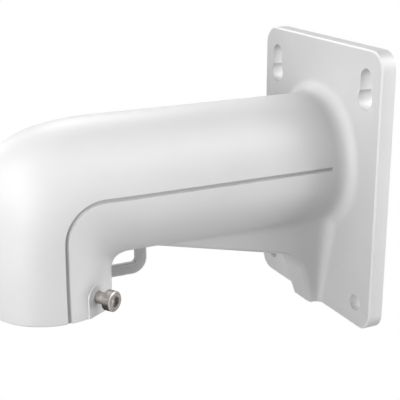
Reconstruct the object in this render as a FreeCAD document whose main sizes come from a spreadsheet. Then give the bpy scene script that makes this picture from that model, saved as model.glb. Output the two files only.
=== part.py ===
import FreeCAD, Part
import math
import os
import re
import Sketcher

from FreeCAD import Placement, Rotation, Vector

# Camera wall bracket, in millimetres.
# The wall is the plane Y = 0 and the arm reaches out along -Y. Z is up, X runs across the plate,
# and the origin is the centre of the plate's back face.

doc = FreeCAD.newDocument("camera_wall_bracket")

# Driving dimensions
driving_sizes = [
    ("plateWidth", 110.5, "wall plate across"),
    ("plateHeight", 144.5, "wall plate upright"),
    ("plateThickness", 8.0, "wall plate from back to front"),
    ("plateCornerRadius", 9.5, "corners of the plate's outline"),
    ("plateChamfer", 0.8, "front edge of the plate"),
    ("holeSpan", 85.0, "left holes to right holes"),
    ("slotHeight", 58.5, "keyhole slots' upper centre above the plate's centre"),
    ("slotWidth", 9.0, "keyhole slots across"),
    ("keyholeWidth", 11.6, "wide round of a keyhole"),
    ("keyholeDrop", 10.3, "slot centre down to the wide round's centre"),
    ("lowerHoleDepth", 59.5, "lower holes below the plate's centre"),
    ("lowerHoleWidth", 8.5, "lower holes' diameter"),
    ("armDiameter", 68.0, "arm at the wall"),
    ("armHeight", 9.8, "arm axis above the plate's centre"),
    ("neckDiameter", 61.0, "neck at its mouth"),
    ("neckReach", 158.5, "wall to the neck's axis"),
    ("neckDepth", 46.3, "neck's mouth below the plate's centre"),
    ("innerBend", 6.7, "fillet where the neck meets the arm's underside"),
    ("cornerAlong", 61.3, "length of the elbow's outer corner along the arm"),
    ("cornerDown", 39.2, "length of the elbow's outer corner down the neck"),
    ("cornerSquareness", 2.72, "exponent of the corner's curve, 2 is an ellipse"),
    ("elbowOverlap", 10.0, "angle by which the elbow reaches into the straight arm and neck"),
    ("wallThickness", 5.0, "wall of the arm and neck"),
    ("boreRise", 20.0, "neck's bore up past the arm's axis"),
    ("boreEndChamfer", 14.0, "coned ends of the arm's and the neck's bores"),
    ("threadBore", 44.85, "bore of the pipe thread in the neck"),
    ("threadLength", 24.0, "length of that bore"),
    ("threadChamfer", 1.8, "chamfer at its mouth"),
    ("neckChamfer", 0.6, "lower edge of the neck"),
    ("rootFillet", 8.2, "fillet from the arm to the plate"),
    ("rootFilletLow", 3.4, "the same fillet at the gusset's toe"),
    ("gussetHalfWidth", 17.2, "half width of the gusset where its sides are measured"),
    ("gussetMeasureOut", 12.0, "distance of that place from the wall"),
    ("gussetMeasureDown", 22.0, "depth of that place below the plate's centre"),
    ("gussetSplay", 3.9, "angle by which its sides open towards the wall"),
    ("gussetDraft", 9.9, "angle by which its sides open upwards"),
    ("gussetReach", 108.5, "wall to the gusset's tip"),
    ("gussetTipDepth", 22.4, "tip of the gusset below the plate's centre"),
    ("gussetSlope", 12.4, "fall of the gusset's underside towards the wall"),
    ("gussetToe", 14.2, "toe of the gusset from the wall"),
    ("gussetLean", 16.1, "lean of the toe's front"),
    ("gussetCurve", 20.0, "curve between the underside and the toe"),
    ("gussetEdgeRound", 2.6, "rounded long edges of the gusset"),
    ("pocketWall", 4.5, "wall of the gusset round the pocket behind it"),
    ("pocketEnd", 4.3, "pocket's height below the arm at its far end"),
    ("pocketFloor", 12.0, "plate's foot up to the pocket"),
    ("creaseFillet", 11.0, "blend of the gusset into the arm at the wall"),
    ("creaseFilletTip", 1.0, "the same blend at the gusset's tip"),
    ("grooveWidth", 2.0, "side groove across"),
    ("grooveDepth", 1.4, "side groove deep"),
    ("grooveHeight", 11.8, "groove above the plate's centre"),
    ("grooveBend", 19.2, "groove's bend at the elbow"),
    ("grooveStart", 19.4, "wall to the middle of the groove's rounded end"),
    ("grooveOffset", 0.4, "groove down the neck, from the neck's axis towards the wall"),
    ("loopThickness", 4.0, "safety loop from side to side"),
    ("loopBar", 5.8, "width of the loop's bar"),
    ("loopReach", 51.0, "neck axis to the loop's outer side"),
    ("loopDepth", 39.3, "loop's lower side below the plate's centre"),
    ("loopCorner", 8.0, "loop's outer corner"),
    ("loopInnerCorner", 2.4, "loop's inner corner"),
    ("loopChamfer", 0.8, "edges of the loop"),
    ("padAngle", 32.0, "screw pad's direction, from +X towards the wall"),
    ("padWidth", 14.0, "screw pad across"),
    ("padDepth", 0.8, "screw pad's depth below the neck's side"),
    ("screwRise", 9.0, "screw axis above the neck's mouth"),
    ("screwDiameter", 6.0, "thread of the lock screw"),
    ("screwLength", 12.0, "lock screw under its head"),
    ("screwClearance", 0.05, "screw to its hole, all round"),
    ("screwStandOff", 4.8, "pad to the underside of the head"),
    ("headDiameter", 10.0, "lock screw's head"),
    ("headHeight", 6.0, "lock screw's head along its axis"),
    ("socketWidth", 5.0, "hexagon socket across its flats"),
    ("socketDepth", 3.0, "hexagon socket deep"),
    ("screwChamfer", 0.5, "edge of the head and tip of the thread"),
]

sheet = doc.addObject("Spreadsheet::Sheet", "Sizes")
for row, (alias, number, meaning) in enumerate(driving_sizes, start=1):
    sheet.set("A%d" % row, meaning)
    sheet.set("B%d" % row, str(number))
    sheet.setAlias("B%d" % row, alias)
doc.recompute()
aliases = {alias for alias, number, meaning in driving_sizes}

# Sizes that follow from the driving ones
derived_sizes = {
    "plateFoot": "-plateHeight / 2",
    "plateMiddle": "-plateThickness / 2",
    "plateBack": "plateThickness / 4",
    "armRadius": "armDiameter / 2",
    "neckRadius": "neckDiameter / 2",
    "pivotY": "-neckReach + neckRadius + innerBend",
    "pivotZ": "armHeight - armRadius - innerBend",
    "cornerFront": "innerBend + neckDiameter",
    "cornerTop": "innerBend + armDiameter",
    "gussetCornerY": "-(gussetToe + tan(gussetLean) * (plateHeight / 2 - gussetTipDepth"
                     " - tan(gussetSlope) * gussetReach)) / (1 - tan(gussetLean) * tan(gussetSlope))",
    "gussetCornerZ": "-gussetTipDepth - tan(gussetSlope) * (gussetReach + gussetCornerY)",
    "pocketRise": "pocketWall / cos(gussetSlope)",
    "pocketBack": "pocketWall / cos(gussetLean)",
    "pocketReach": "gussetReach - (armRadius - armHeight - gussetTipDepth + pocketRise + pocketEnd)"
                   " / tan(gussetSlope)",
    "pocketCornerY": "gussetCornerY + (pocketBack - pocketRise * tan(gussetLean))"
                     " / (1 - tan(gussetLean) * tan(gussetSlope))",
    "pocketCornerZ": "gussetCornerZ + pocketRise - tan(gussetSlope) * (pocketCornerY - gussetCornerY)",
    "pocketToeY": "-gussetToe + pocketBack - tan(gussetLean) * pocketFloor",
    "loopOuter": "-neckReach + loopReach",
    "loopNeckEnd": "-neckReach + neckRadius - wallThickness / 2",
    "loopArmEnd": "armHeight - armRadius + wallThickness / 2",
    "grooveNeck": "-neckReach + grooveOffset",
    "grooveHalf": "grooveWidth / 2",
    "boreRadius": "threadBore / 2",
    "screwHeight": "-neckDepth + screwRise",
    "padFace": "neckRadius - padDepth",
    "headSeat": "padFace + screwStandOff",
}


def formula(text):
    """Expression in the document's terms, with derived sizes written out."""
    def term(word):
        name = word.group()
        if name in derived_sizes:
            return "(%s)" % formula(derived_sizes[name])
        return "Sizes." + name if name in aliases else name
    return re.sub(r"[A-Za-z]\w*", term, text)


def value(text):
    """Number that an expression gives."""
    return float(sheet.evalExpression(formula(text)))


# Lengths that differ by less than this count as equal, for picking edges
closeness = 0.01


def near(number, text):
    return abs(number - value(text)) < closeness


def flat(length):
    return length < closeness


def bind(item, **expressions):
    for name, text in expressions.items():
        item.setExpression(name, formula(text))
    return item


def place(item, base, turn, shift=("0", "0", "0")):
    """Bind a placement: yaw, pitch and roll about base, then a shift along the turned axes."""
    text = "placement(vector(%s; %s; %s); rotation(%s; %s; %s))" % (tuple(base) + tuple(turn))
    if shift != ("0", "0", "0"):
        text += " * placement(vector(%s; %s; %s); rotation(0; 0; 0))" % shift
    item.setExpression("Placement", formula(text))
    return item


upright = ("0", "0", "0")
outwards = ("90", "-90", "0")
acrossX = ("0", "90", "0")
alongScrew = ("padAngle", "90", "0")
armStart = ("0", "0", "armHeight")
neckAxis = ("0", "-neckReach", "-neckDepth")
neckTurn = ("-90", "0", "0")
screwStart = ("0", "-neckReach", "screwHeight")


def cylinder(name, radius, height, base, turn, shift=("0", "0", "0")):
    item = doc.addObject("Part::Cylinder", name)
    bind(item, Radius=radius, Height=height)
    return place(item, base, turn, shift)


def box(name, sizes, base, turn, shift=("0", "0", "0")):
    item = doc.addObject("Part::Box", name)
    bind(item, Length=sizes[0], Width=sizes[1], Height=sizes[2])
    return place(item, base, turn, shift)


def fuse(name, shapes):
    item = doc.addObject("Part::MultiFuse", name)
    item.Shapes = shapes
    item.Refine = True
    return item


def cut(name, base, tool):
    item = doc.addObject("Part::Cut", name)
    item.Base = base
    item.Tool = tool
    item.Refine = True
    return item


def edge_feature(kind, name, base, sizes):
    """Fillet or Chamfer of the edges for which sizes gives two numbers."""
    doc.recompute()
    item = doc.addObject("Part::" + kind, name)
    item.Base = base
    edges = []
    for index, edge in enumerate(base.Shape.Edges, start=1):
        pair = sizes(edge)
        if pair:
            edges.append((index, pair[0], pair[1]))
    item.Edges = edges
    doc.recompute()
    return item


def fillet(name, base, radii):
    return edge_feature("Fillet", name, base, radii)


def chamfer(name, base, sides):
    return edge_feature("Chamfer", name, base, sides)


def even(text):
    radius = value(text)
    return radius, radius


def draw(sketch, corners):
    """Closed outline of straight sides, each corner held by two distances from the origin."""
    points = [Vector(value(across), value(up), 0) for across, up in corners]
    for index, point in enumerate(points):
        sketch.addGeometry(Part.LineSegment(points[index - 1], point), False)
    for index in range(len(points)):
        following = (index + 1) % len(points)
        sketch.addConstraint(Sketcher.Constraint("Coincident", index, 2, following, 1))
    for index, corner in enumerate(corners):
        for kind, text in zip(("DistanceX", "DistanceY"), corner):
            held = sketch.addConstraint(Sketcher.Constraint(kind, -1, 1, index, 2, value(text)))
            sketch.setExpression("Constraints[%d]" % held, formula(text))


def prism(name, corners, width):
    """Outline in the plane X = 0, given by y and z, made solid to both sides."""
    sketch = doc.addObject("Sketcher::SketchObject", name + "Outline")
    sketch.Placement = Placement(Vector(0, 0, 0), Rotation(Vector(1, 1, 1), 120))
    draw(sketch, corners)
    item = doc.addObject("Part::Extrusion", name)
    item.Base = sketch
    item.DirMode = "Normal"
    item.Solid = True
    item.Symmetric = True
    return bind(item, LengthFwd=width)


def corner_at(along, up, radius):
    """Picks the edge of a prism at one corner of its outline."""
    def radii(edge):
        bounds = edge.BoundBox
        alongX = flat(bounds.YLength) and flat(bounds.ZLength)
        if alongX and near(bounds.YMin, along) and near(bounds.ZMin, up):
            return even(radius)
    return radii


# Wall plate
def plate_corner(edge):
    bounds = edge.BoundBox
    if flat(bounds.XLength) and flat(bounds.ZLength):
        return even("plateCornerRadius")


plateBlock = box("PlateBlock", ("plateWidth", "plateThickness", "plateHeight"),
                 ("-plateWidth / 2", "-plateThickness", "plateFoot"), upright)
plate = fillet("Plate", plateBlock, plate_corner)


# Gusset: its profile from the side, then both sides cut to their splay and draft
gussetBlock = prism("GussetBlock", [
    ("-gussetReach", "-gussetTipDepth"),
    ("gussetCornerY", "gussetCornerZ"),
    ("-gussetToe", "plateFoot"),
    ("plateMiddle", "plateFoot"),
    ("plateMiddle", "armHeight"),
    ("-gussetReach", "armHeight"),
], "plateWidth")
gussetCurved = fillet("GussetCurved", gussetBlock,
                      corner_at("gussetCornerY", "gussetCornerZ", "gussetCurve"))


def beyond_sides(name, halfWidth):
    """Everything outside the gusset's two tilted sides."""
    sides = []
    for side, sign, yaw in (("Right", "", "-gussetSplay"), ("Left", "-", "180 + gussetSplay")):
        sides.append(box(
            name + side, ("plateWidth", "2 * gussetReach", "2 * gussetReach"),
            ("%s(%s)" % (sign, halfWidth), "-gussetMeasureOut", "-gussetMeasureDown"),
            (yaw, "gussetDraft", "0"), ("0", "-gussetReach", "-gussetReach")))
    return fuse(name, sides)


gussetDrafted = cut("GussetDrafted", gussetCurved, beyond_sides("GussetSides", "gussetHalfWidth"))


def gusset_long_edge(edge):
    if not flat(edge.BoundBox.YLength) and not flat(edge.BoundBox.ZLength):
        return even("gussetEdgeRound")


gusset = fillet("Gusset", gussetDrafted, gusset_long_edge)


# Straight tubes, each ended by a slanting plane through the inner bend's pivot
def beyond_bend(name, roll):
    return box(name, ("plateWidth", "neckReach", "2 * armDiameter"), ("0", "pivotY", "pivotZ"),
               ("0", "0", roll), ("-plateWidth / 2", "-neckReach", "0"))


beyondArm = beyond_bend("BeyondArm", "-elbowOverlap")
beyondNeck = beyond_bend("BeyondNeck", "elbowOverlap")


def arm_tube(name, inset):
    whole = cylinder(name + "Whole", "armRadius - " + inset, "-pivotY", armStart, outwards)
    return cut(name, whole, beyondArm)


def neck_tube(name, inset):
    whole = cylinder(name + "Whole", "neckRadius - " + inset, "neckDepth + pivotZ", neckAxis, neckTurn)
    return cut(name, whole, beyondNeck)


# Plate, arm and gusset, with the blends between them
outerArm = arm_tube("OuterArm", "0")
rawRoot = fuse("RawRoot", [plate, outerArm, gusset])


def radii_along(edge, radius):
    """Radius at both ends of an edge, from a function of the place."""
    return radius(edge.Vertexes[0].Point), radius(edge.Vertexes[-1].Point)


def crease_radius(point):
    share = (point.y + value("gussetReach")) / value("gussetReach - plateThickness")
    share = max(0, min(1, share))
    return value("creaseFilletTip") + value("creaseFillet - creaseFilletTip") * share


def crease_edge(edge):
    """Edges where the gusset's faces meet the arm's round underside."""
    middle = edge.valueAt((edge.FirstParameter + edge.LastParameter) / 2)
    if edge.isClosed() or flat(edge.BoundBox.YLength) or middle.z > value("armHeight - armRadius / 2"):
        return None
    for point in (middle, edge.Vertexes[0].Point, edge.Vertexes[-1].Point):
        if not near(Vector(point.x, 0, point.z - value("armHeight")).Length, "armRadius"):
            return None
    return radii_along(edge, crease_radius)


creased = fillet("Creased", rawRoot, crease_edge)


def root_radius(point):
    share = (point.z - value("plateFoot")) / value("armHeight - armRadius - plateFoot")
    share = max(0, min(1, share))
    return value("rootFilletLow") + value("rootFillet - rootFilletLow") * share


def root_edge(edge):
    """Edges where the arm and the gusset stand on the plate's front."""
    bounds = edge.BoundBox
    if not flat(bounds.YLength) or not near(bounds.YMin, "-plateThickness"):
        return None
    if flat(bounds.ZLength) or max(-bounds.XMin, bounds.XMax) > value("plateWidth / 2 - plateCornerRadius"):
        return None
    return radii_along(edge, root_radius)


rooted = fillet("Rooted", creased, root_edge)


# Front edge of the plate, with the toe's edge at its foot
def front_edge(edge):
    bounds = edge.BoundBox
    if flat(bounds.YLength) and near(bounds.YMin, "-plateThickness"):
        return even("plateChamfer")


wallHalf = chamfer("WallHalf", rooted, front_edge)


# Elbow: a smooth loft through ellipses, in planes that turn about the inner bend's pivot
elbowSteps = 9
reachPrecision = 0.000001


def outer_reach(turn):
    """Pivot to the elbow's outer line: straight along the top, a squared-off corner, straight down."""
    along = math.sin(math.radians(turn))
    rise = math.cos(math.radians(turn))
    near_side = 0
    far_side = math.hypot(value("cornerFront"), value("cornerTop"))
    while far_side - near_side > reachPrecision:
        reach = (near_side + far_side) / 2
        past = max(0, reach * along - value("cornerFront - cornerAlong")) / value("cornerAlong")
        above = max(0, reach * rise - value("cornerTop - cornerDown")) / value("cornerDown")
        if past ** value("cornerSquareness") + above ** value("cornerSquareness") > 1:
            far_side = reach
        else:
            near_side = reach
    return near_side


def elbow_section(name, turn, inset):
    """Ellipse of four arcs, its long way along the section's plane, from the arm (0) to the neck (90)."""
    beyond = max(0, -turn, turn - 90)
    slant = math.cos(math.radians(beyond))
    inner = (value("innerBend") + inset) / slant
    outer = outer_reach(turn) - inset / slant
    share = max(0, min(1, turn / 90))
    ease = share * share * (3 - 2 * share)
    across = value("armRadius") + value("neckRadius - armRadius") * ease - inset
    curve = Part.Ellipse(Vector(0, 0, 0), max((outer - inner) / 2, across), across)
    quarter = math.pi / 2
    item = doc.addObject("Part::Feature", name)
    item.Shape = Part.Wire([Part.Edge(curve, part * quarter, (part + 1) * quarter) for part in range(4)])
    middle = (inner + outer) / 2
    base = Vector(0, value("pivotY") - middle * math.sin(math.radians(turn)),
                  value("pivotZ") + middle * math.cos(math.radians(turn)))
    item.Placement = Placement(base, Rotation(90, -90 - turn, 0))
    return item


def elbow(name, inset):
    step = 90 / elbowSteps
    turns = [-value("elbowOverlap")] + [step * index for index in range(elbowSteps + 1)]
    turns.append(90 + value("elbowOverlap"))
    item = doc.addObject("Part::Loft", name)
    item.Sections = [elbow_section("%sSection%d" % (name, index), turn, value(inset))
                     for index, turn in enumerate(turns)]
    item.Solid = True
    item.Ruled = False
    return item


outerElbow = elbow("OuterElbow", "0")
outerNeck = neck_tube("OuterNeck", "0")


def neck_mouth(edge):
    if near(edge.BoundBox.ZMin, "-neckDepth") and near(edge.BoundBox.ZMax, "-neckDepth"):
        return even("neckChamfer")


neck = chamfer("Neck", outerNeck, neck_mouth)

# Safety loop between the neck and the arm's underside
loopBlock = prism("LoopBlock", [
    ("loopOuter", "loopArmEnd"),
    ("loopOuter", "-loopDepth"),
    ("loopNeckEnd", "-loopDepth"),
    ("loopNeckEnd", "-loopDepth + loopBar"),
    ("loopOuter - loopBar", "-loopDepth + loopBar"),
    ("loopOuter - loopBar", "loopArmEnd"),
], "loopThickness")
loopBent = fillet("LoopBent", loopBlock, corner_at("loopOuter", "-loopDepth", "loopCorner"))
loopCurved = fillet("LoopCurved", loopBent,
                    corner_at("loopOuter - loopBar", "-loopDepth + loopBar", "loopInnerCorner"))


def loop_side(edge):
    if flat(edge.BoundBox.XLength):
        return even("loopChamfer")


loop = chamfer("Loop", loopCurved, loop_side)
outerBody = fuse("OuterBody", [wallHalf, outerElbow, neck, loop])


# Hollow: two straight bores with coned ends, and the thread's narrower bore in the neck
def bore_end(edge):
    """The far edge of either bore."""
    bounds = edge.BoundBox
    atArmEnd = near(bounds.YMin, "-neckReach") and flat(bounds.YLength)
    atNeckTop = near(bounds.ZMax, "armHeight + boreRise") and flat(bounds.ZLength)
    if atArmEnd or atNeckTop:
        return even("boreEndChamfer")


def from_mouth(name, radius, height, start):
    return cylinder(name, radius, height, neckAxis, neckTurn, ("0", "0", start))


armCore = cylinder("ArmCore", "armRadius - wallThickness", "neckReach", armStart, outwards)
armBore = chamfer("ArmBore", armCore, bore_end)
neckCore = from_mouth("NeckCore", "neckRadius - wallThickness",
                      "neckDepth + armHeight + boreRise - threadLength", "threadLength")
neckBore = chamfer("NeckBore", neckCore, bore_end)
threadHole = from_mouth("ThreadHole", "boreRadius", "threadLength + 2 * neckChamfer", "-neckChamfer")
mouthCone = doc.addObject("Part::Cone", "MouthCone")
bind(mouthCone, Radius1="boreRadius + threadChamfer", Radius2="boreRadius", Height="threadChamfer")
place(mouthCone, neckAxis, neckTurn)

# Pocket behind the gusset, open at the wall, with the arm's own wall above it
pocketBlock = prism("PocketBlock", [
    ("-pocketReach", "gussetCornerZ + pocketRise + tan(gussetSlope) * (pocketReach + gussetCornerY)"),
    ("pocketCornerY", "pocketCornerZ"),
    ("pocketToeY", "plateFoot + pocketFloor"),
    ("plateBack", "plateFoot + pocketFloor"),
    ("plateBack", "armHeight"),
    ("-pocketReach", "armHeight"),
], "plateWidth")
pocketSides = beyond_sides("PocketSides", "gussetHalfWidth - pocketWall")
pocketDrafted = cut("PocketDrafted", pocketBlock, pocketSides)
armKeep = cylinder("ArmKeep", "armRadius", "2 * gussetReach", ("0", "gussetReach", "armHeight"), outwards)
pocket = cut("Pocket", pocketDrafted, armKeep)

# Wall holes: keyholes above, round holes below
def through_plate(name, diameter, across, height):
    return cylinder(name, diameter + " / 2", "2 * plateThickness", (across, "plateMiddle", height), outwards,
                    ("0", "0", "-plateThickness"))


holes = []
for side, sign in (("Left", "-"), ("Right", "")):
    across = sign + "holeSpan / 2"
    holes += [
        through_plate("Slot" + side, "slotWidth", across, "slotHeight"),
        box("SlotWay" + side, ("keyholeDrop", "slotWidth", "2 * plateThickness"),
            (across, "plateMiddle", "slotHeight"), outwards,
            ("-keyholeDrop", "-slotWidth / 2", "-plateThickness")),
        through_plate("Keyhole" + side, "keyholeWidth", across, "slotHeight - keyholeDrop"),
        through_plate("LowerHole" + side, "lowerHoleWidth", across, "-lowerHoleDepth"),
    ]

# Screw pad: a flat arch in the neck's side, open at the mouth, and the tapped hole through it
padArch = cylinder("PadArch", "padWidth / 2", "2 * padDepth", screwStart, alongScrew, ("0", "0", "padFace"))
padWay = box("PadWay", ("2 * screwRise", "padWidth", "2 * padDepth"), screwStart, alongScrew,
             ("0", "-padWidth / 2", "padFace"))
screwHole = cylinder("ScrewHole", "screwDiameter / 2 + screwClearance", "neckRadius", screwStart, alongScrew,
                     ("0", "0", "boreRadius / 2"))

# Side grooves: a bent band through the tube, less the tube inside the groove's floor
grooveBand = prism("GrooveBand", [
    ("-grooveStart", "grooveHeight + grooveHalf"),
    ("grooveNeck - grooveHalf", "grooveHeight + grooveHalf"),
    ("grooveNeck - grooveHalf", "-neckDepth - grooveWidth"),
    ("grooveNeck + grooveHalf", "-neckDepth - grooveWidth"),
    ("grooveNeck + grooveHalf", "grooveHeight - grooveHalf"),
    ("-grooveStart", "grooveHeight - grooveHalf"),
], "2 * armDiameter")
grooveInner = fillet("GrooveInner", grooveBand, corner_at(
    "grooveNeck + grooveHalf", "grooveHeight - grooveHalf", "grooveBend - grooveHalf"))
grooveBent = fillet("GrooveBent", grooveInner, corner_at(
    "grooveNeck - grooveHalf", "grooveHeight + grooveHalf", "grooveBend + grooveHalf"))
grooveEnd = cylinder("GrooveEnd", "grooveHalf", "2 * armDiameter", ("0", "-grooveStart", "grooveHeight"),
                     acrossX, ("0", "0", "-armDiameter"))
grooveWay = fuse("GrooveWay", [grooveBent, grooveEnd])
floorArm = arm_tube("FloorArm", "grooveDepth")
floorElbow = elbow("FloorElbow", "grooveDepth")
floorNeck = neck_tube("FloorNeck", "grooveDepth")
floorMouth = from_mouth("FloorMouth", "neckRadius - grooveDepth", "2 * grooveWidth", "-2 * grooveWidth")
grooveFloor = fuse("GrooveFloor", [floorArm, floorElbow, floorNeck, floorMouth])
grooves = cut("Grooves", grooveWay, grooveFloor)

hollows = [armBore, neckBore, threadHole, mouthCone, pocket]
openings = fuse("Openings", hollows + [padArch, padWay, screwHole, grooves] + holes)
casting = cut("BracketCasting", outerBody, openings)
casting.Label = "bracket_casting"


# Lock screw, in its own axes: Z runs out through the head and Z = 0 is the underside of the head
def plane_of(body, role):
    return next(item for item in body.Origin.OriginFeatures if item.Role == role)


def sketch_on(body, name, height):
    sketch = body.newObject("Sketcher::SketchObject", name)
    sketch.AttachmentSupport = [(plane_of(body, "XY_Plane"), "")]
    sketch.MapMode = "FlatFace"
    sketch.setExpression("AttachmentOffset.Base.z", formula(height))
    return sketch


def round_pad(body, name, diameter, length, reverse):
    sketch = sketch_on(body, name + "Circle", "0")
    sketch.addGeometry(Part.Circle(Vector(0, 0, 0), Vector(0, 0, 1), value(diameter) / 2), False)
    sketch.addConstraint(Sketcher.Constraint("Coincident", 0, 3, -1, 1))
    held = sketch.addConstraint(Sketcher.Constraint("Diameter", 0, value(diameter)))
    sketch.setExpression("Constraints[%d]" % held, formula(diameter))
    pad = body.newObject("PartDesign::Pad", name)
    pad.Profile = sketch
    pad.Reversed = reverse
    bind(pad, Length=length)
    doc.recompute()


screw = doc.addObject("PartDesign::Body", "LockScrew")
screw.Label = "lock_screw"
round_pad(screw, "Head", "headDiameter", "headHeight", False)
round_pad(screw, "Shank", "screwDiameter", "screwLength", True)
hexagon = sketch_on(screw, "SocketHexagon", "headHeight")
draw(hexagon, [("socketWidth / sqrt(3) * cos(%d)" % turn, "socketWidth / sqrt(3) * sin(%d)" % turn)
               for turn in range(0, 360, 60)])
socket = screw.newObject("PartDesign::Pocket", "Socket")
socket.Profile = hexagon
bind(socket, Length="socketDepth")
doc.recompute()
rims = []
for index, edge in enumerate(socket.Shape.Edges, start=1):
    bounds = edge.BoundBox
    atHead = near(bounds.ZMin, "headHeight") and near(bounds.XLength, "headDiameter")
    atTip = near(bounds.ZMax, "-screwLength")
    if atHead or atTip:
        rims.append("Edge%d" % index)
ends = screw.newObject("PartDesign::Chamfer", "Ends")
ends.Base = (socket, rims)
bind(ends, Size="screwChamfer")
place(screw, screwStart, alongScrew, ("0", "0", "headSeat"))
doc.recompute()

# Every feature must have worked before anything is written
for item in doc.Objects:
    failed = "Invalid" in item.State or "Error" in item.State
    if failed or (item.isDerivedFrom("Part::Feature") and (item.Shape.isNull() or not item.Shape.isValid())):
        raise RuntimeError("%s has failed: %s" % (item.Name, item.State))

os.makedirs("parts", exist_ok=True)
for item in (casting, screw):
    item.Shape.exportStep("parts/%s.step" % item.Label)
    print("%s: %d solids, %.0f mm3" % (item.Label, len(item.Shape.Solids), item.Shape.Volume))
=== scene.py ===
import math

import bmesh
import bpy
import numpy as np
from mathutils import Matrix, Vector


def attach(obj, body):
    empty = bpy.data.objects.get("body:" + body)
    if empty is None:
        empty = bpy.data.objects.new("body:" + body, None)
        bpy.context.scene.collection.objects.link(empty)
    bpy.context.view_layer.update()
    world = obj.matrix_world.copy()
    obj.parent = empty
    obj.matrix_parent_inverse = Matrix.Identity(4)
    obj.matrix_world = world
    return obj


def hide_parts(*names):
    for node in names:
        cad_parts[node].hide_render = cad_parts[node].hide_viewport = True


# Camera wall bracket: the wall is the plane Y = 0, the arm reaches out along -Y and Z is up.
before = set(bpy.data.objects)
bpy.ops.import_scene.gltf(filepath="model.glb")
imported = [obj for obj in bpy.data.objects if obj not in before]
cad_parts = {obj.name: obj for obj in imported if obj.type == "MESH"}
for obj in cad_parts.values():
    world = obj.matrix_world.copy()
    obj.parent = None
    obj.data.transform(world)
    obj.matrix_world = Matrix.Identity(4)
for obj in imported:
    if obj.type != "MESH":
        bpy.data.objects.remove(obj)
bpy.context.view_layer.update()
print("frame loaded:", ", ".join(sorted(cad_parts)))

millimetre = 0.001
upward = Vector((0, 0, 1))


def fromMm(*values):
    return Vector([value * millimetre for value in values])


def towards(azimuth, elevation):
    # Azimuth in degrees from straight in front of the plate round to its right, elevation above level
    turn, rise = math.radians(azimuth), math.radians(elevation)
    return Vector((math.sin(turn) * math.cos(rise), -math.cos(turn) * math.cos(rise), math.sin(rise)))


def addObject(name, data):
    made = bpy.data.objects.new(name, data)
    bpy.context.scene.collection.objects.link(made)
    return made


# Camera

view = {
    "azimuth": 64.412,  # degrees
    "elevation": 17.892,
    "roll": -0.147,
    "place": (422.69, -279.23, 145.30),  # mm
    "focalLength": 86.56,
    "sensorWidth": 36.0,
    "clip": (10, 20000),  # nearest and farthest that it sees, mm
}


def makeCamera():
    roll = math.radians(view["roll"])
    back = towards(view["azimuth"], view["elevation"])
    right = upward.cross(back).normalized()
    up = back.cross(right)
    rolledRight = right * math.cos(roll) + up * math.sin(roll)
    rolledUp = up * math.cos(roll) - right * math.sin(roll)
    turned = Matrix((rolledRight, rolledUp, back)).transposed().to_4x4()
    data = bpy.data.cameras.new("camera")
    data.lens = view["focalLength"]
    data.sensor_width = view["sensorWidth"]
    data.clip_start, data.clip_end = (distance * millimetre for distance in view["clip"])
    camera = addObject("camera", data)
    camera.matrix_world = Matrix.Translation(fromMm(*view["place"])) @ turned
    bpy.context.scene.camera = camera


makeCamera()
print("camera placed")


# Nodes, in shaders and in geometry alike

def shaderTree(owner):
    owner.use_nodes = True
    owner.node_tree.nodes.clear()
    return owner.node_tree


def addNode(tree, kind, **settings):
    node = tree.nodes.new(kind)
    for name, setting in settings.items():
        setattr(node, name, setting)
    return node


def feed(tree, source, socket):
    # The source is another node's output or a plain value
    if isinstance(source, bpy.types.NodeSocket):
        tree.links.new(source, socket)
    else:
        socket.default_value = source


def addMath(tree, operation, first, second):
    node = addNode(tree, "ShaderNodeMath", operation=operation)
    feed(tree, first, node.inputs[0])
    feed(tree, second, node.inputs[1])
    return node.outputs[0]


def addRange(tree, source, given, wanted, kind="LINEAR"):
    # Spreads the span given of the source over the span wanted
    spread = addNode(tree, "ShaderNodeMapRange", interpolation_type=kind)
    for label, value in zip(("From Min", "From Max", "To Min", "To Max"), (*given, *wanted)):
        spread.inputs[label].default_value = value
    tree.links.new(source, spread.inputs["Value"])
    return spread.outputs["Result"]


# Studio: a pale floor well below the bracket, white surroundings and soft round lamps

studio = {
    "floorLevel": -1000,  # mm
    "floorRadius": 1400,
    "floorSegments": 96,
    "floorColour": (0.8, 0.8, 0.8),
    "floorRoughness": 0.9,
    "floorGlow": 0.5,  # under the bracket, rising to 1 towards the rim
    "glowReach": (900, 1400),  # mm
    "floorInGloss": 0.3,  # share of the glow that shows in shiny surfaces
    "surroundingsInGloss": 1.0,  # and of the white surroundings
    "lamps": [  # name, azimuth, elevation, distance mm, size mm, watts, what it aims at in mm
        ("frontLamp", -15, 10, 1300, 600, 3.01, (0, -90, 0)),
        ("cornerLamp", 26, -18, 1300, 600, 2.15, (0, -90, 0)),
        ("elbowLamp", 40, 5, 600, 260, 0.91, (0, -165, 20)),
        ("upperLamp", 15, 35, 380, 220, 0.44, (0, -70, 10)),
        ("rootLamp", 30, 5, 380, 220, 0.26, (0, -15, 10)),
        ("leftLamp", -70, 24, 1300, 600, 2.5, (0, -90, 0)),
        ("farLeftLamp", -103, 40, 1300, 600, 4.53, (0, -90, 0)),
        ("sideLamp", 115, 49, 1300, 600, 3.30, (0, -90, 0)),
        ("rearLamp", 150, 35, 380, 220, 0.67, (0, -70, 10)),
        ("topLamp", 160, 60, 1300, 600, 2.07, (0, -90, 0)),
        ("lowLamp", 145, -10, 1300, 600, 5.13, (0, -90, 0)),
        ("underLamp", 130, -35, 1300, 600, 1.94, (0, -90, 0)),
    ],
}


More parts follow.
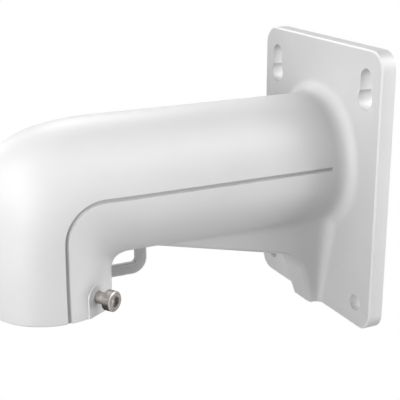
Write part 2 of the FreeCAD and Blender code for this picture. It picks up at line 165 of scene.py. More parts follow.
def addSeenDirectly(tree, inGloss):
    # 1 for what the camera sees, itself or through a clear surface, a share of that for what a
    # shiny surface shows, and 0 for the light that would fall on the bracket
    rays = addNode(tree, "ShaderNodeLightPath").outputs
    glossy = addMath(tree, "MULTIPLY", rays["Is Glossy Ray"], inGloss)
    seen = addMath(tree, "MAXIMUM", rays["Is Camera Ray"], glossy)
    return addMath(tree, "MAXIMUM", seen, rays["Is Transmission Ray"])


def makeWorld():
    world = bpy.data.worlds.new("surroundings")
    bpy.context.scene.world = world
    tree = shaderTree(world)
    background = addNode(tree, "ShaderNodeBackground")
    output = addNode(tree, "ShaderNodeOutputWorld")
    background.inputs["Color"].default_value = (1, 1, 1, 1)
    tree.links.new(addSeenDirectly(tree, studio["surroundingsInGloss"]), background.inputs["Strength"])
    tree.links.new(background.outputs[0], output.inputs["Surface"])


def makeFloorPaint():
    material = bpy.data.materials.new("floorPaint")
    tree = shaderTree(material)
    place = addNode(tree, "ShaderNodeTexCoord")
    level = addNode(tree, "ShaderNodeVectorMath", operation="MULTIPLY")
    reach = addNode(tree, "ShaderNodeVectorMath", operation="LENGTH")
    paint = addNode(tree, "ShaderNodeBsdfPrincipled")
    glow = addNode(tree, "ShaderNodeEmission")
    both = addNode(tree, "ShaderNodeAddShader")
    output = addNode(tree, "ShaderNodeOutputMaterial")
    paint.inputs["Base Color"].default_value = (*studio["floorColour"], 1)
    paint.inputs["Roughness"].default_value = studio["floorRoughness"]
    paint.inputs["Specular IOR Level"].default_value = 0.0
    level.inputs[1].default_value = (1, 1, 0)
    tree.links.new(place.outputs["Object"], level.inputs[0])
    tree.links.new(level.outputs[0], reach.inputs[0])
    glowReach = [distance * millimetre for distance in studio["glowReach"]]
    rise = addRange(tree, reach.outputs["Value"], glowReach, (studio["floorGlow"], 1.0), "SMOOTHSTEP")
    seen = addSeenDirectly(tree, studio["floorInGloss"])
    tree.links.new(addMath(tree, "MULTIPLY", rise, seen), glow.inputs["Strength"])
    tree.links.new(paint.outputs[0], both.inputs[0])
    tree.links.new(glow.outputs[0], both.inputs[1])
    tree.links.new(both.outputs[0], output.inputs["Surface"])
    return material


def makeFloor():
    mesh = bpy.data.meshes.new("floor")
    shape = bmesh.new()
    bmesh.ops.create_circle(shape, cap_ends=True, segments=studio["floorSegments"],
                            radius=studio["floorRadius"] * millimetre)
    bmesh.ops.translate(shape, verts=shape.verts, vec=fromMm(0, 0, studio["floorLevel"]))
    shape.to_mesh(mesh)
    shape.free()
    floor = addObject("floor", mesh)
    mesh.materials.append(makeFloorPaint())


def makeLamps():
    for name, azimuth, elevation, distance, size, power, aim in studio["lamps"]:
        away = towards(azimuth, elevation)
        data = bpy.data.lights.new(name, "AREA")
        data.shape = "DISK"
        data.size = size * millimetre
        data.energy = power
        lamp = addObject(name, data)
        lamp.location = fromMm(*aim) + away * distance * millimetre
        lamp.rotation_euler = away.to_track_quat("Z", "Y").to_euler()


makeWorld()
makeFloor()
makeLamps()
bpy.context.scene.view_settings.view_transform = "Standard"
print("studio built:", len(studio["lamps"]), "lamps")


# Effects that both finishes use: grain, and painted light and shade, which follows the tone that each face
# corner carries

noiseSpan = (0.3, 0.7)  # where most of a noise texture's values lie


def addNoise(tree, place, scale, detail):
    noise = addNode(tree, "ShaderNodeTexNoise")
    for label, source in (("Vector", place), ("Scale", scale), ("Detail", detail)):
        feed(tree, source, noise.inputs[label])
    return noise.outputs["Fac"]


def groupTree(name, inputs, outputs):
    # Inputs and outputs are labels with their kind of socket
    tree = bpy.data.node_groups.new(name, "ShaderNodeTree")
    for way, sockets in (("INPUT", inputs), ("OUTPUT", outputs)):
        for label, kind in sockets.items():
            tree.interface.new_socket(label, in_out=way, socket_type="NodeSocket" + kind)
    return tree, addNode(tree, "NodeGroupInput").outputs, addNode(tree, "NodeGroupOutput").inputs


def makeGrain():
    # Fine bumps with scattered specks, and broad soft patches
    sizes = ("Bump Scale", "Bump Detail", "Speck Scale", "Speck Detail", "Speck Share", "Patch Scale",
             "Patch Detail")
    tree, given, result = groupTree("fineGrain", {"Vector": "Vector", **dict.fromkeys(sizes, "Float")},
                                    dict.fromkeys(("Height", "Specks", "Patches"), "Float"))
    bumps = addNoise(tree, given["Vector"], given["Bump Scale"], given["Bump Detail"])
    specks = addNoise(tree, given["Vector"], given["Speck Scale"], given["Speck Detail"])
    patches = addNoise(tree, given["Vector"], given["Patch Scale"], given["Patch Detail"])
    height = addMath(tree, "ADD", bumps, addMath(tree, "MULTIPLY", specks, given["Speck Share"]))
    for label, value in (("Height", height), ("Specks", specks), ("Patches", patches)):
        tree.links.new(value, result[label])
    return tree


def makePaintedLight():
    # The colour where the tone is 1, lighter under painted highlights and darker under painted shade
    tree, given, result = groupTree("paintedLight", {"Colour": "Color", "Tone": "Float", "Shade": "Float"},
                                    {"Colour": "Color"})
    scaled = addNode(tree, "ShaderNodeVectorMath", operation="SCALE")
    share = addMath(tree, "MULTIPLY", given["Shade"], given["Tone"])
    tree.links.new(given["Colour"], scaled.inputs[0])
    tree.links.new(share, scaled.inputs["Scale"])
    tree.links.new(scaled.outputs[0], result["Colour"])
    return tree


fineGrain = makeGrain()
paintedLight = makePaintedLight()


def addGroup(tree, group, values):
    node = addNode(tree, "ShaderNodeGroup")
    node.node_tree = group
    for label, source in values.items():
        feed(tree, source, node.inputs[label])
    return node.outputs


def startFinish(name, finish):
    # A new material with the grain's bumps in it; gives back its grain, tone and surface sockets too
    material = bpy.data.materials.new(name)
    tree = shaderTree(material)
    place = addNode(tree, "ShaderNodeTexCoord")
    tone = addNode(tree, "ShaderNodeAttribute", attribute_name="surfaceTone")
    bump = addNode(tree, "ShaderNodeBump")
    surface = addNode(tree, "ShaderNodeBsdfPrincipled")
    output = addNode(tree, "ShaderNodeOutputMaterial")
    grain = addGroup(tree, fineGrain, {"Vector": place.outputs["Object"], **finish["grain"]})
    bump.inputs["Distance"].default_value = finish["bump"] * millimetre
    tree.links.new(grain["Height"], bump.inputs["Height"])
    tree.links.new(bump.outputs[0], surface.inputs["Normal"])
    tree.links.new(surface.outputs[0], output.inputs["Surface"])
    return material, grain, tone.outputs["Fac"], surface.inputs


coat = {  # satin powder coat, slightly orange-peeled
    "colour": (0.70, 0.70, 0.70),
    "shade": (0.97, 1.02),  # share of the colour, from patch to patch
    "roughness": (0.39, 0.45),
    "grain": {  # per metre
        "Bump Scale": 700.0, "Bump Detail": 2.0, "Speck Scale": 2600.0, "Speck Detail": 1.0,
        "Speck Share": 0.6, "Patch Scale": 22.0, "Patch Detail": 2.0},
    "bump": 0.012,  # mm
    "edgeHighlightTone": 1.36,  # share of the colour on outer edges, a painted highlight
}


def makeCoat():
    material, grain, tone, surface = startFinish("powderCoat", coat)
    tree = material.node_tree
    shade = addRange(tree, grain["Patches"], noiseSpan, coat["shade"])
    toned = addGroup(tree, paintedLight, {"Colour": (*coat["colour"], 1), "Tone": tone, "Shade": shade})
    roughness = addRange(tree, grain["Patches"], noiseSpan, coat["roughness"])
    tree.links.new(toned["Colour"], surface["Base Color"])
    tree.links.new(roughness, surface["Roughness"])
    return material


steel = {  # plain steel, turned and lightly tarnished
    "colour": (0.36, 0.342, 0.328),
    "stain": (0.21, 0.196, 0.186),
    "metallic": 0.6,
    "roughness": (0.34, 0.46),
    "grain": {  # per metre
        "Bump Scale": 2200.0, "Bump Detail": 3.0, "Speck Scale": 5200.0, "Speck Detail": 1.0,
        "Speck Share": 0.7, "Patch Scale": 420.0, "Patch Detail": 2.0},
    "bump": 0.006,  # mm
    "roughTones": (0.2, 0.9),  # roughness rises where the painted shade is deepest, most at the first tone and none at the second
    "roughnessAdded": (0.4, 0.0),  # added there
}


def makeSteel():
    material, grain, tone, surface = startFinish("screwSteel", steel)
    tree = material.node_tree
    tint = addNode(tree, "ShaderNodeMix", data_type="RGBA")
    tint.inputs["A"].default_value = (*steel["stain"], 1)
    tint.inputs["B"].default_value = (*steel["colour"], 1)
    tree.links.new(addRange(tree, grain["Patches"], noiseSpan, (0.0, 1.0)), tint.inputs["Factor"])
    toned = addGroup(tree, paintedLight, {"Colour": tint.outputs["Result"], "Tone": tone, "Shade": 1.0})
    polish = addRange(tree, grain["Specks"], noiseSpan, steel["roughness"])
    roughening = addRange(tree, tone, steel["roughTones"], steel["roughnessAdded"])
    surface["Metallic"].default_value = steel["metallic"]
    tree.links.new(toned["Colour"], surface["Base Color"])
    tree.links.new(addMath(tree, "ADD", polish, roughening), surface["Roughness"])
    return material


powderCoat = makeCoat()
screwSteel = makeSteel()
print("finishes mixed")


# Shared geometry nodes

def geometryTree(name, inputs):
    tree = bpy.data.node_groups.new(name, "GeometryNodeTree")
    tree.interface.new_socket("Geometry", in_out="INPUT", socket_type="NodeSocketGeometry")
    for label, value in inputs.items():
        kind = "NodeSocketInt" if isinstance(value, int) else "NodeSocketFloat"
        tree.interface.new_socket(label, in_out="INPUT", socket_type=kind)
    tree.interface.new_socket("Geometry", in_out="OUTPUT", socket_type="NodeSocketGeometry")
    return tree, addNode(tree, "NodeGroupInput").outputs


def addTransform(tree, geometry, move=None, turn=None, scale=None):
    node = addNode(tree, "GeometryNodeTransform")
    tree.links.new(geometry, node.inputs["Geometry"])
    for label, parts in (("Translation", move), ("Rotation", turn), ("Scale", scale)):
        if parts is None:
            continue
        combined = addNode(tree, "ShaderNodeCombineXYZ")
        for part, socket in zip(parts, combined.inputs):
            feed(tree, part, socket)
        tree.links.new(combined.outputs[0], node.inputs[label])
    return node.outputs["Geometry"]


def addHelix(tree, sizes):
    # A screw-shaped cutter with a three-cornered section, wound upwards from level 0
    spiral = addNode(tree, "GeometryNodeCurveSpiral")
    upright = addNode(tree, "GeometryNodeSetCurveNormal", mode="Z_UP")
    triangle = addNode(tree, "GeometryNodeCurvePrimitiveCircle")
    sweep = addNode(tree, "GeometryNodeCurveToMesh")
    feed(tree, sizes["Steps"], spiral.inputs["Resolution"])
    feed(tree, sizes["Turns"], spiral.inputs["Rotations"])
    feed(tree, sizes["Radius"], spiral.inputs["Start Radius"])
    feed(tree, sizes["Radius"], spiral.inputs["End Radius"])
    feed(tree, addMath(tree, "MULTIPLY", sizes["Pitch"], sizes["Turns"]), spiral.inputs["Height"])
    feed(tree, 3, triangle.inputs["Resolution"])
    feed(tree, 1.0, triangle.inputs["Radius"])
    feed(tree, True, sweep.inputs["Fill Caps"])
    section = addTransform(tree, triangle.outputs["Curve"],
                           scale=(sizes["Tooth Depth"], sizes["Tooth Width"], 1.0))
    tree.links.new(spiral.outputs["Curve"], upright.inputs["Curve"])
    tree.links.new(upright.outputs["Curve"], sweep.inputs["Curve"])
    tree.links.new(section, sweep.inputs["Profile Curve"])
    return sweep.outputs["Mesh"]


def finishTree(tree, body, cutters, material):
    # Takes the cutters out of the body, then ends the tree
    carve = addNode(tree, "GeometryNodeMeshBoolean", operation="DIFFERENCE", solver="MANIFOLD")
    realise = addNode(tree, "GeometryNodeRealizeInstances")
    paint = addNode(tree, "GeometryNodeSetMaterial")
    result = addNode(tree, "NodeGroupOutput")
    paint.inputs["Material"].default_value = material
    tree.links.new(body, carve.inputs["Mesh 1"])
    for cutter in cutters:
        tree.links.new(cutter, carve.inputs["Mesh 2"])
    tree.links.new(carve.outputs["Mesh"], realise.inputs["Geometry"])
    tree.links.new(realise.outputs["Geometry"], paint.inputs["Geometry"])
    tree.links.new(paint.outputs["Geometry"], result.inputs["Geometry"])


def applyTree(mesh, tree, sizes):
    # Runs a tree on a mesh, with its sizes in mm, and gives back the plain mesh that comes out
    holder = addObject(tree.name, mesh)
    modifier = holder.modifiers.new(tree.name, "NODES")
    modifier.node_group = tree
    for socket in tree.interface.items_tree:
        if socket.in_out == "INPUT" and socket.name in sizes:
            size = sizes[socket.name]
            counted = isinstance(size, int) or socket.name == "Turns"
            modifier[socket.identifier] = size if counted else size * millimetre
    graph = bpy.context.evaluated_depsgraph_get()
    made = bpy.data.meshes.new_from_object(holder.evaluated_get(graph), depsgraph=graph)
    holder.modifiers.remove(modifier)
    bpy.data.objects.remove(holder)
    return made


# Shared mesh work

def plainMesh(name, shape):
    bmesh.ops.recalc_face_normals(shape, faces=shape.faces)
    mesh = bpy.data.meshes.new(name)
    shape.to_mesh(mesh)
    shape.free()
    return mesh


def joinFacets(mesh, weld):
    # Merges loose triangles into one closed mesh and counts the edges that stay open
    shape = bmesh.new()
    shape.from_mesh(mesh)
    bmesh.ops.remove_doubles(shape, verts=shape.verts, dist=weld * millimetre)
    openEdges = sum(1 for edge in shape.edges if not edge.is_manifold)
    shape.to_mesh(mesh)
    shape.free()
    if "custom_normal" in mesh.attributes:
        mesh.attributes.remove(mesh.attributes["custom_normal"])
    return openEdges


def shadeByAngle(mesh, angle):
    mesh.shade_smooth()
    mesh.set_sharp_from_angle(angle=math.radians(angle))


def weightNormals(piece):
    weighted = piece.modifiers.new("weightedNormals", "WEIGHTED_NORMAL")
    weighted.mode = "FACE_AREA_WITH_ANGLE"
    weighted.keep_sharp = True


def readValues(items, name, width=1, kind=np.float32):
    values = np.empty(len(items) * width, kind)
    items.foreach_get(name, values)
    return values.reshape(-1, width) if width > 1 else values


def readCorners(mesh):
    # For each face corner: its own point and its face's middle in mm, and its face's normal
    vertices = readValues(mesh.loops, "vertex_index", kind=np.int32)
    counts = readValues(mesh.polygons, "loop_total", kind=np.int32)
    return {
        "points": readValues(mesh.vertices, "co", 3)[vertices].astype(float) / millimetre,
        "middles": readValues(mesh.polygons, "center", 3).repeat(counts, axis=0).astype(float) / millimetre,
        "facings": readValues(mesh.polygons, "normal", 3).repeat(counts, axis=0),
    }


def setSurfaceTone(mesh, tones):
    attribute = mesh.attributes.new("surfaceTone", "FLOAT", "CORNER")
    attribute.data.foreach_set("value", np.asarray(tones, np.float32))


def finishPiece(piece, material, slotName, *nodes):
    piece.data.materials.clear()
    piece.data.materials.append(material)
    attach(piece, "root")
    if nodes:
        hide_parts(*nodes)


# Casting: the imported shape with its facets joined, a pipe thread cut in the neck and true normals on the tube

casting = {  # mm, where nothing else is said
    "weld": 0.002,
    "sharpAngle": 50,  # degrees, so that chamfers shade as small rounds
    "thread": {
        "Pitch": 2.309,
        "Turns": 10.4,
        "Steps": 72,  # for each turn
        "Radius": 22.767,
        "Tooth Depth": 1.133,
        "Tooth Width": 1.024,
        "Start": -48.2,
        "Reach": -158.5,
    },
    "tube": {  # the goose-neck's own form
        "pivot": (-121.3, -30.9),  # y and z of the centre that the elbow turns about
        "innerBend": 6.7,
        "armRadius": 34.0,
        "armHeight": 9.8,
        "neckRadius": 30.5,
        "neckReach": -158.5,
        "cornerAlong": 61.3,
        "cornerDown": 39.2,
        "squareness": 2.72,
        "grooveDepth": 1.4,
        "halvings": 30,  # in the search for the elbow's outer line
        "straightFit": 0.01,  # how far a corner on the skin may lie from the arm or the neck
        "elbowFit": 0.5,  # and from the elbow
        "probe": 0.05,  # step that the slopes are taken over
        "facing": 10,  # degrees that a face on the skin may lean from it
    },
    "tones": {  # shares of the coat's colour, painted light and shade on corners that each place picks
        "ropeLoop": {  # painted shade on its sides
            "low": (2, -131, -45),  # corners of the box that holds one side
            "high": (4, -108, -18),
            "sideways": 0.9,  # least share of the normal
            "tone": 0.72,
        },
        "rim": {  # painted shade on the plate's top, painted light on its other edge faces
            "front": -7.2,  # y, behind the chamfer
            "starts": (49.0, 66.0),  # to each side and up
            "forwards": 0.1,  # most share of the normal
            "tones": ((0.0, 0.5, 1.0), (1.11, 1.08, 0.74)),  # share faced upwards, and tone
        },
        "collar": {  # painted highlight on the round where the arm meets the plate
            "reach": (-15.0, -8.02),  # y
            "tones": ((0.35, 0.68, 0.9, 1.0), (1.0, 1.15, 1.15, 1.0)),  # share faced forwards, and tone
        },
        "chamfer": {  # painted highlight round the plate's front
            "reach": (-8.0, -7.2),  # y
            "forwards": (0.5, 0.9),  # least and most share of the normal
        },
        "keyholes": {  # painted shade on their walls, darker towards the top
            "middle": 42.5,  # to each side
            "halfWidth": 6.2,
            "front": -8.0,  # y
            "forwards": 0.3,  # most share of a wall's normal
            "joint": 51.9,  # height where the slot meets the round
            "slot": ((51.9, 57.0, 60.0, 63.0), (1.0, 0.97, 0.82, 0.68)),  # heights, and tones
            "round": ((42.4, 45.0, 49.0, 51.9), (1.0, 1.0, 0.84, 0.7)),
        },
        "groove": {  # painted shade on its floor, darkest along the outer edge
            "bendMiddle": (-138.9, -7.4),  # y and z
            "bendRadius": 19.2,
            "halfWidth": 1.0,
            "outwards": 0.9,  # least share of the floor's normal
            "tones": (0.95, 0.55),  # at the inner and the outer edge
        },
    },
}

tube = casting["tube"]


def threadTree():
    tree, sizes = geometryTree("pipeThread", casting["thread"])
    cutter = addTransform(tree, addHelix(tree, sizes), move=(0.0, sizes["Reach"], sizes["Start"]))
    finishTree(tree, sizes["Geometry"], [cutter], powderCoat)
    return tree


def outerReach(turn):
    # From the pivot to the elbow's outer line: straight along the top, a squared-off corner, straight down
    front = tube["innerBend"] + 2 * tube["neckRadius"]
    top = tube["innerBend"] + 2 * tube["armRadius"]
    nearSide, farSide = np.zeros_like(turn), np.full_like(turn, math.hypot(front, top))
    for halving in range(tube["halvings"]):
        reach = (nearSide + farSide) / 2
        past = np.maximum(0, reach * np.sin(turn) - front + tube["cornerAlong"]) / tube["cornerAlong"]
        above = np.maximum(0, reach * np.cos(turn) - top + tube["cornerDown"]) / tube["cornerDown"]
        outside = past ** tube["squareness"] + above ** tube["squareness"] > 1
        farSide, nearSide = np.where(outside, reach, farSide), np.where(outside, nearSide, reach)
    return nearSide


def tubeDistance(points, inset):
    # Roughly how far points lie outside the goose-neck, and whether they are past the elbow's ends
    x, y, z = points.T
    ahead, above = tube["pivot"][0] - y, z - tube["pivot"][1]
    turn = np.arctan2(ahead, above)
    share = np.clip(turn / (math.pi / 2), 0, 1)
    ease = share * share * (3 - 2 * share)
    inner = tube["innerBend"] + inset
    outer = outerReach(np.clip(turn, 0, math.pi / 2)) - inset
    half = (outer - inner) / 2
    across = tube["armRadius"] + (tube["neckRadius"] - tube["armRadius"]) * ease - inset
    bent = np.hypot((np.hypot(ahead, above) - (inner + outer) / 2) / half, x / across) - 1
    bent = bent * np.minimum(half, across)
    arm = np.hypot(x, z - tube["armHeight"]) - tube["armRadius"] + inset
    neck = np.hypot(x, y - tube["neckReach"]) - tube["neckRadius"] + inset
    straight = (ahead <= 0) | (above <= 0)
    return np.where(ahead <= 0, arm, np.where(above <= 0, neck, bent)), straight


def tubeNormals(points, inset):
    # Each the way in which the distance grows fastest
    slopes = []
    for step in np.eye(3) * tube["probe"]:
        slopes.append(tubeDistance(points + step, inset)[0] - tubeDistance(points - step, inset)[0])
    normals = np.stack(slopes, 1)
    return normals / np.linalg.norm(normals, axis=1, keepdims=True)


def setTubeNormals(piece):
    # Weighted normals stay, apart from the corners on the tube's skin and on its grooves' floors
    shaded = piece.evaluated_get(bpy.context.evaluated_depsgraph_get())
    normals = readValues(shaded.to_mesh().corner_normals, "vector", 3).astype(float)
    shaded.to_mesh_clear()
    corners = readCorners(piece.data)
    changed = 0
    for inset in (0.0, tube["grooveDepth"]):
        away, straight = tubeDistance(corners["points"], inset)
        true = tubeNormals(corners["points"], inset)
        fit = np.where(straight, tube["straightFit"], tube["elbowFit"])
        alongSkin = (true * corners["facings"]).sum(1) > math.cos(math.radians(tube["facing"]))
        onSkin = (np.abs(away) < fit) & alongSkin
        normals[onSkin] = true[onSkin]
        changed += int(onSkin.sum())
    piece.modifiers.clear()
    piece.data.normals_split_custom_set(normals)
    return changed


# Each of these picks corners of the casting and gives them a tone of painted light or shade

def ropeLoopTones(corners, loop):
    middles = corners["middles"].copy()
    middles[:, 0] = np.abs(middles[:, 0])
    inside = np.all((middles > loop["low"]) & (middles < loop["high"]), axis=1)
    sideways = np.abs(corners["facings"][:, 0]) > loop["sideways"]
    return inside & sideways, np.full(len(middles), loop["tone"])


def rimTones(corners, rim):
    x, y, z = corners["middles"].T
    aside, up = rim["starts"]
    onRim = (y > rim["front"]) & (np.abs(corners["facings"][:, 1]) < rim["forwards"])
    onRim &= (np.abs(x) > aside) | (np.abs(z) > up)
    return onRim, np.interp(corners["normals"][:, 2], *rim["tones"])


def collarTones(corners, collar):
    y = corners["middles"][:, 1]
    front, back = collar["reach"]
    return (y > front) & (y < back), np.interp(-corners["normals"][:, 1], *collar["tones"])


# A painted highlight on the chamfer round the plate's front
def chamferTones(corners, chamfer):
    y, forwards = corners["middles"][:, 1], -corners["facings"][:, 1]
    (front, back), (least, most) = chamfer["reach"], chamfer["forwards"]
    onChamfer = (y > front) & (y < back) & (forwards > least) & (forwards < most)
    return onChamfer, np.full(len(y), coat["edgeHighlightTone"])


def keyholeTones(corners, hole):
    x, y, z = corners["middles"].T
    onWall = np.abs(np.abs(x) - hole["middle"]) < hole["halfWidth"]
    onWall &= (z > hole["round"][0][0]) & (z < hole["slot"][0][-1])
    onWall &= (y > hole["front"]) & (np.abs(corners["facings"][:, 1]) < hole["forwards"])
    heights = corners["points"][:, 2]
    return onWall, np.where(z > hole["joint"], np.interp(heights, *hole["slot"]),
                            np.interp(heights, *hole["round"]))


def grooveTones(corners, groove):
    away, straight = tubeDistance(corners["middles"], tube["grooveDepth"])
    outwards = (tubeNormals(corners["middles"], tube["grooveDepth"]) * corners["facings"]).sum(1)
    onFloor = (np.abs(away) < tube["elbowFit"]) & (outwards > groove["outwards"])
    ahead = np.maximum(0, groove["bendMiddle"][0] - corners["points"][:, 1])
    above = np.maximum(0, corners["points"][:, 2] - groove["bendMiddle"][1])
    across = (np.hypot(ahead, above) - groove["bendRadius"]) / groove["halfWidth"]
    return onFloor, np.interp(across, (-1, 1), groove["tones"])


def castingTones(mesh):
    corners = readCorners(mesh)
    corners["normals"] = readValues(mesh.corner_normals, "vector", 3)
    tones = np.ones(len(mesh.loops))
    for place, toneOf in (("ropeLoop", ropeLoopTones), ("rim", rimTones), ("collar", collarTones),
                          ("chamfer", chamferTones), ("keyholes", keyholeTones), ("groove", grooveTones)):
        picked, shares = toneOf(corners, casting["tones"][place])
        tones[picked] = shares[picked]
    return tones


def makeCasting():
    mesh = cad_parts["bracket_casting"].data.copy()
    openEdges = joinFacets(mesh, casting["weld"])
    mesh = applyTree(mesh, threadTree(), casting["thread"])
    shadeByAngle(mesh, casting["sharpAngle"])
    piece = addObject("bracketCasting", mesh)
    weightNormals(piece)
    changed = setTubeNormals(piece)
    setSurfaceTone(mesh, castingTones(mesh))
    finishPiece(piece, powderCoat, "powder_coat", "bracket_casting")
    print("casting:", len(mesh.polygons), "faces,", openEdges, "open edges,", changed, "corners on the tube")


# Lock screw, turned in its own axes: Z runs out through the head, whose top is at 6 mm

lockScrew = {  # mm, where nothing else is said
    "outline": [  # radius and height, from the tip to the top of the head
        (0, -12), (2.4, -12), (2.85, -11.5), (2.85, 1.4), (4.8, 1.4), (5, 1.6), (5, 5.5), (4.5, 6), (0, 6)],
    "segments": 96,
    "weld": 0.0002,
    "sharpAngle": 35,  # degrees
    "start": (0, -158.5, -37.3),  # on the neck's axis
    "turn": 32,  # degrees, from +X towards the wall
    "seat": 34.5,  # from the start out to the screw's own Z = 0
    "cuts": {
        "Pitch": 1.0,
        "Turns": 8.2,
        "Steps": 32,  # for each turn
        "Radius": 2.84,
        "Tooth Depth": 0.6,
        "Tooth Width": 0.42,
        "Start": -12.3,
        "Ridges": 42,  # round the head
        "Ridge Reach": 5.22,
        "Ridge Depth": 0.5,
        "Ridge Width": 0.85,
        "Ridge Start": 1.8,
        "Ridge Length": 3.7,
        "Socket Sides": 6,
        "Socket Radius": 2.887,
        "Socket Depth": 1.7,
        "Tip Sides": 48,  # of the drill's tip, below the socket
        "Tip Radius": 2.425,
        "Tip Depth": 0.51,
        "Tip Overlap": 0.0001,
        "Head Height": 6.0,
    },
    "tones": {  # shares of the steel's colour, painting light and shade onto it
        "rim": 1.9,  # painted highlight on the head's chamfer
        "floor": 2.2,  # painted light on the socket's floor
        "face": 0.85,
        "shank": ((-0.7, -0.1, 0.35), (0.6, 1.0, 1.4)),  # painted shade below, painted light above: share faced upwards, and tone
        "head": ((-0.25, 0.0, 0.15), (0.15, 0.4, 1.3)),
        "headFrom": 4.0,  # out from the axis, mm
        "rimFrom": 4.4,
        "floorBelow": 5.9,  # height, mm
        "sideOutwards": 0.3,  # most share of a side's normal that points out along the axis
        "rimOutwards": 0.9,  # and of the chamfer's
        "floorOutwards": 0.5,  # least share of the floor's
    },
}


def addKnurl(tree, sizes):
    # A ring of three-sided cutters along the head
    ring = addNode(tree, "GeometryNodeMeshCircle")
    ridge = addNode(tree, "GeometryNodeMeshCylinder")
    spread = addNode(tree, "GeometryNodeInstanceOnPoints")
    index = addNode(tree, "GeometryNodeInputIndex")
    facing = addNode(tree, "ShaderNodeCombineXYZ")
    feed(tree, sizes["Ridges"], ring.inputs["Vertices"])
    feed(tree, sizes["Ridge Reach"], ring.inputs["Radius"])
    feed(tree, 3, ridge.inputs["Vertices"])
    feed(tree, 1.0, ridge.inputs["Radius"])
    feed(tree, sizes["Ridge Length"], ridge.inputs["Depth"])
    step = addMath(tree, "DIVIDE", 2 * math.pi, sizes["Ridges"])
    feed(tree, addMath(tree, "MULTIPLY", index.outputs[0], step), facing.inputs["Z"])
    inward = addTransform(tree, ridge.outputs["Mesh"], turn=(0.0, 0.0, math.pi))
    shaped = addTransform(tree, inward, scale=(sizes["Ridge Depth"], sizes["Ridge Width"], 1.0))
    tree.links.new(ring.outputs["Mesh"], spread.inputs["Points"])
    tree.links.new(shaped, spread.inputs["Instance"])
    tree.links.new(facing.outputs[0], spread.inputs["Rotation"])
    middle = addMath(tree, "ADD", addMath(tree, "MULTIPLY", sizes["Ridge Length"], 0.5), sizes["Ridge Start"])
    return addTransform(tree, spread.outputs["Instances"], move=(0.0, 0.0, middle))


def addSocket(tree, sizes):
    # The hexagon, twice its depth because half of it stands above the head, and the drill's tip below it
    key = addNode(tree, "GeometryNodeMeshCylinder")
    tip = addNode(tree, "GeometryNodeMeshCone")
    feed(tree, sizes["Socket Sides"], key.inputs["Vertices"])
    feed(tree, sizes["Socket Radius"], key.inputs["Radius"])
    feed(tree, addMath(tree, "MULTIPLY", sizes["Socket Depth"], 2.0), key.inputs["Depth"])
    feed(tree, sizes["Tip Sides"], tip.inputs["Vertices"])
    feed(tree, sizes["Tip Radius"], tip.inputs["Radius Bottom"])
    feed(tree, 0.0, tip.inputs["Radius Top"])
    feed(tree, sizes["Tip Depth"], tip.inputs["Depth"])
    hexagon = addTransform(tree, key.outputs["Mesh"], move=(0.0, 0.0, sizes["Head Height"]))
    downwards = addTransform(tree, tip.outputs["Mesh"], turn=(math.pi, 0.0, 0.0))
    floorLevel = addMath(tree, "SUBTRACT", sizes["Head Height"], sizes["Socket Depth"])
    tipLevel = addMath(tree, "ADD", floorLevel, sizes["Tip Overlap"])
    return hexagon, addTransform(tree, downwards, move=(0.0, 0.0, tipLevel))


def screwTree():
    tree, sizes = geometryTree("screwCuts", lockScrew["cuts"])
    thread = addTransform(tree, addHelix(tree, sizes), move=(0.0, 0.0, sizes["Start"]))
    cutters = [thread, addKnurl(tree, sizes), *addSocket(tree, sizes)]
    finishTree(tree, sizes["Geometry"], cutters, screwSteel)
    return tree


def turnedMesh(name, outline, segments):
    # A radius of 0 makes a single point on the axis
    shape = bmesh.new()
    rings = []
    for radius, height in outline:
        turns = [2 * math.pi * step / segments for step in range(segments if radius else 1)]
        rings.append([shape.verts.new(fromMm(radius * math.cos(turn), radius * math.sin(turn), height))
                      for turn in turns])
    for lower, upper in zip(rings, rings[1:]):
        for step in range(segments):
            after = (step + 1) % segments
            corners = [lower[step % len(lower)], lower[after % len(lower)],
                       upper[after % len(upper)], upper[step % len(upper)]]
            shape.faces.new(list(dict.fromkeys(corners)))
    return plainMesh(name, shape)


def screwAxis():
    return towards(90 + lockScrew["turn"], 0)


def screwTones(mesh, seat):
    # Painted highlights on the chamfer and on the socket's floor, painted shade underneath
    given = lockScrew["tones"]
    axis = np.array(screwAxis())
    corners = readCorners(mesh)
    middles = corners["middles"] - np.array(seat) / millimetre
    height, outwards = middles @ axis, corners["facings"] @ axis
    spokes = middles - np.outer(height, axis)
    reach = np.linalg.norm(spokes, axis=1)
    upwards = spokes[:, 2] / reach
    side = np.where(reach > given["headFrom"], np.interp(upwards, *given["head"]),
                    np.interp(upwards, *given["shank"]))
    onRim = (outwards > given["sideOutwards"]) & (outwards < given["rimOutwards"])
    onRim &= reach > given["rimFrom"]
    onFloor = (reach < lockScrew["cuts"]["Socket Radius"]) & (outwards > given["floorOutwards"])
    onFloor &= (height > 0) & (height < given["floorBelow"])
    tones = np.where(np.abs(outwards) < given["sideOutwards"], side, given["face"])
    tones = np.where(onRim, given["rim"], tones)
    return np.where(onFloor, given["floor"], tones)


def makeScrew():
    mesh = turnedMesh("lockScrew", lockScrew["outline"], lockScrew["segments"])
    mesh = applyTree(mesh, screwTree(), lockScrew["cuts"])
    out, down = screwAxis(), -upward
    seat = fromMm(*lockScrew["start"]) + out * lockScrew["seat"] * millimetre
    axes = Matrix((down, out.cross(down), out)).transposed().to_4x4()
    mesh.transform(Matrix.Translation(seat) @ axes)
    joinFacets(mesh, lockScrew["weld"])
    shadeByAngle(mesh, lockScrew["sharpAngle"])
    setSurfaceTone(mesh, screwTones(mesh, seat))
    piece = addObject("lockScrew", mesh)
    weightNormals(piece)
    finishPiece(piece, screwSteel, "screw_steel", "lock_screw")
    print("lock screw:", len(mesh.polygons), "faces")


# Screw pad: a flat boss with an arched top, which the lock screw passes through

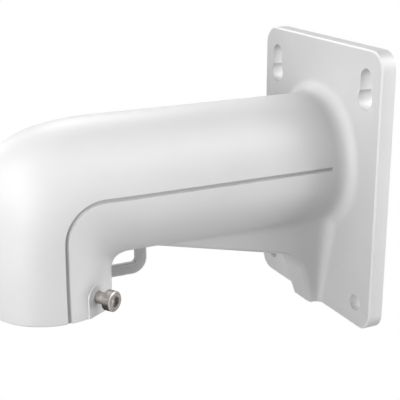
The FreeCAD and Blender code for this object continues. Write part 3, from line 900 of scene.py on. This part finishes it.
screwPad = {  # mm
    "halfWidth": 7.0,
    "foot": 8.9,  # below the screw's axis
    "hole": 3.08,
    "back": 29.2,  # out from the neck's axis, buried in the neck
    "side": 30.32,  # where the painted highlight on the edge starts
    "face": 30.45,
    "edge": 0.13,
    "archSteps": 24,
    "sideSteps": 3,
    "footSteps": 4,
    "sharpAngle": 35,  # degrees
}


def padOutline(shrink):
    # From one side over the arch to the other, then round the foot
    half, foot = screwPad["halfWidth"] - shrink, screwPad["foot"] - shrink
    archSteps, sideSteps, footSteps = screwPad["archSteps"], screwPad["sideSteps"], screwPad["footSteps"]
    turns = [math.pi * step / archSteps for step in range(archSteps + 1)]
    arch = [(half * math.cos(turn), half * math.sin(turn)) for turn in turns]
    left = [(-half, -foot * step / sideSteps) for step in range(1, sideSteps + 1)]
    base = [(-half + 2 * half * step / footSteps, -foot) for step in range(1, footSteps)]
    right = [(half, height) for side, height in reversed(left)]
    return arch + left + base + right


def makePad():
    out = screwAxis()
    across = upward.cross(out)
    start = fromMm(*lockScrew["start"])
    wide, narrow = padOutline(0), padOutline(screwPad["edge"])
    hole = [(screwPad["hole"] * u / math.hypot(u, w), screwPad["hole"] * w / math.hypot(u, w))
            for u, w in wide]
    shape = bmesh.new()
    loops = []
    for outline, level in ((wide, "back"), (wide, "side"), (narrow, "face"), (hole, "face"), (hole, "back")):
        loops.append([shape.verts.new(start + (across * u + upward * w + out * screwPad[level]) * millimetre)
                      for u, w in outline])
    tones = []
    # The band from the side to the face carries a painted highlight
    bandTones = (1.0, coat["edgeHighlightTone"], 1.0, 1.0, 1.0)
    for lower, upper, tone in zip(loops, loops[1:] + loops[:1], bandTones):
        for step in range(len(lower)):
            after = (step + 1) % len(lower)
            shape.faces.new((lower[step], lower[after], upper[after], upper[step]))
            tones += [tone] * 4
    mesh = plainMesh("screwPad", shape)
    setSurfaceTone(mesh, tones)
    shadeByAngle(mesh, screwPad["sharpAngle"])
    piece = addObject("screwPad", mesh)
    weightNormals(piece)
    finishPiece(piece, powderCoat, "powder_coat")
    print("screw pad:", len(mesh.polygons), "faces")


makeCasting()
makeScrew()
makePad()
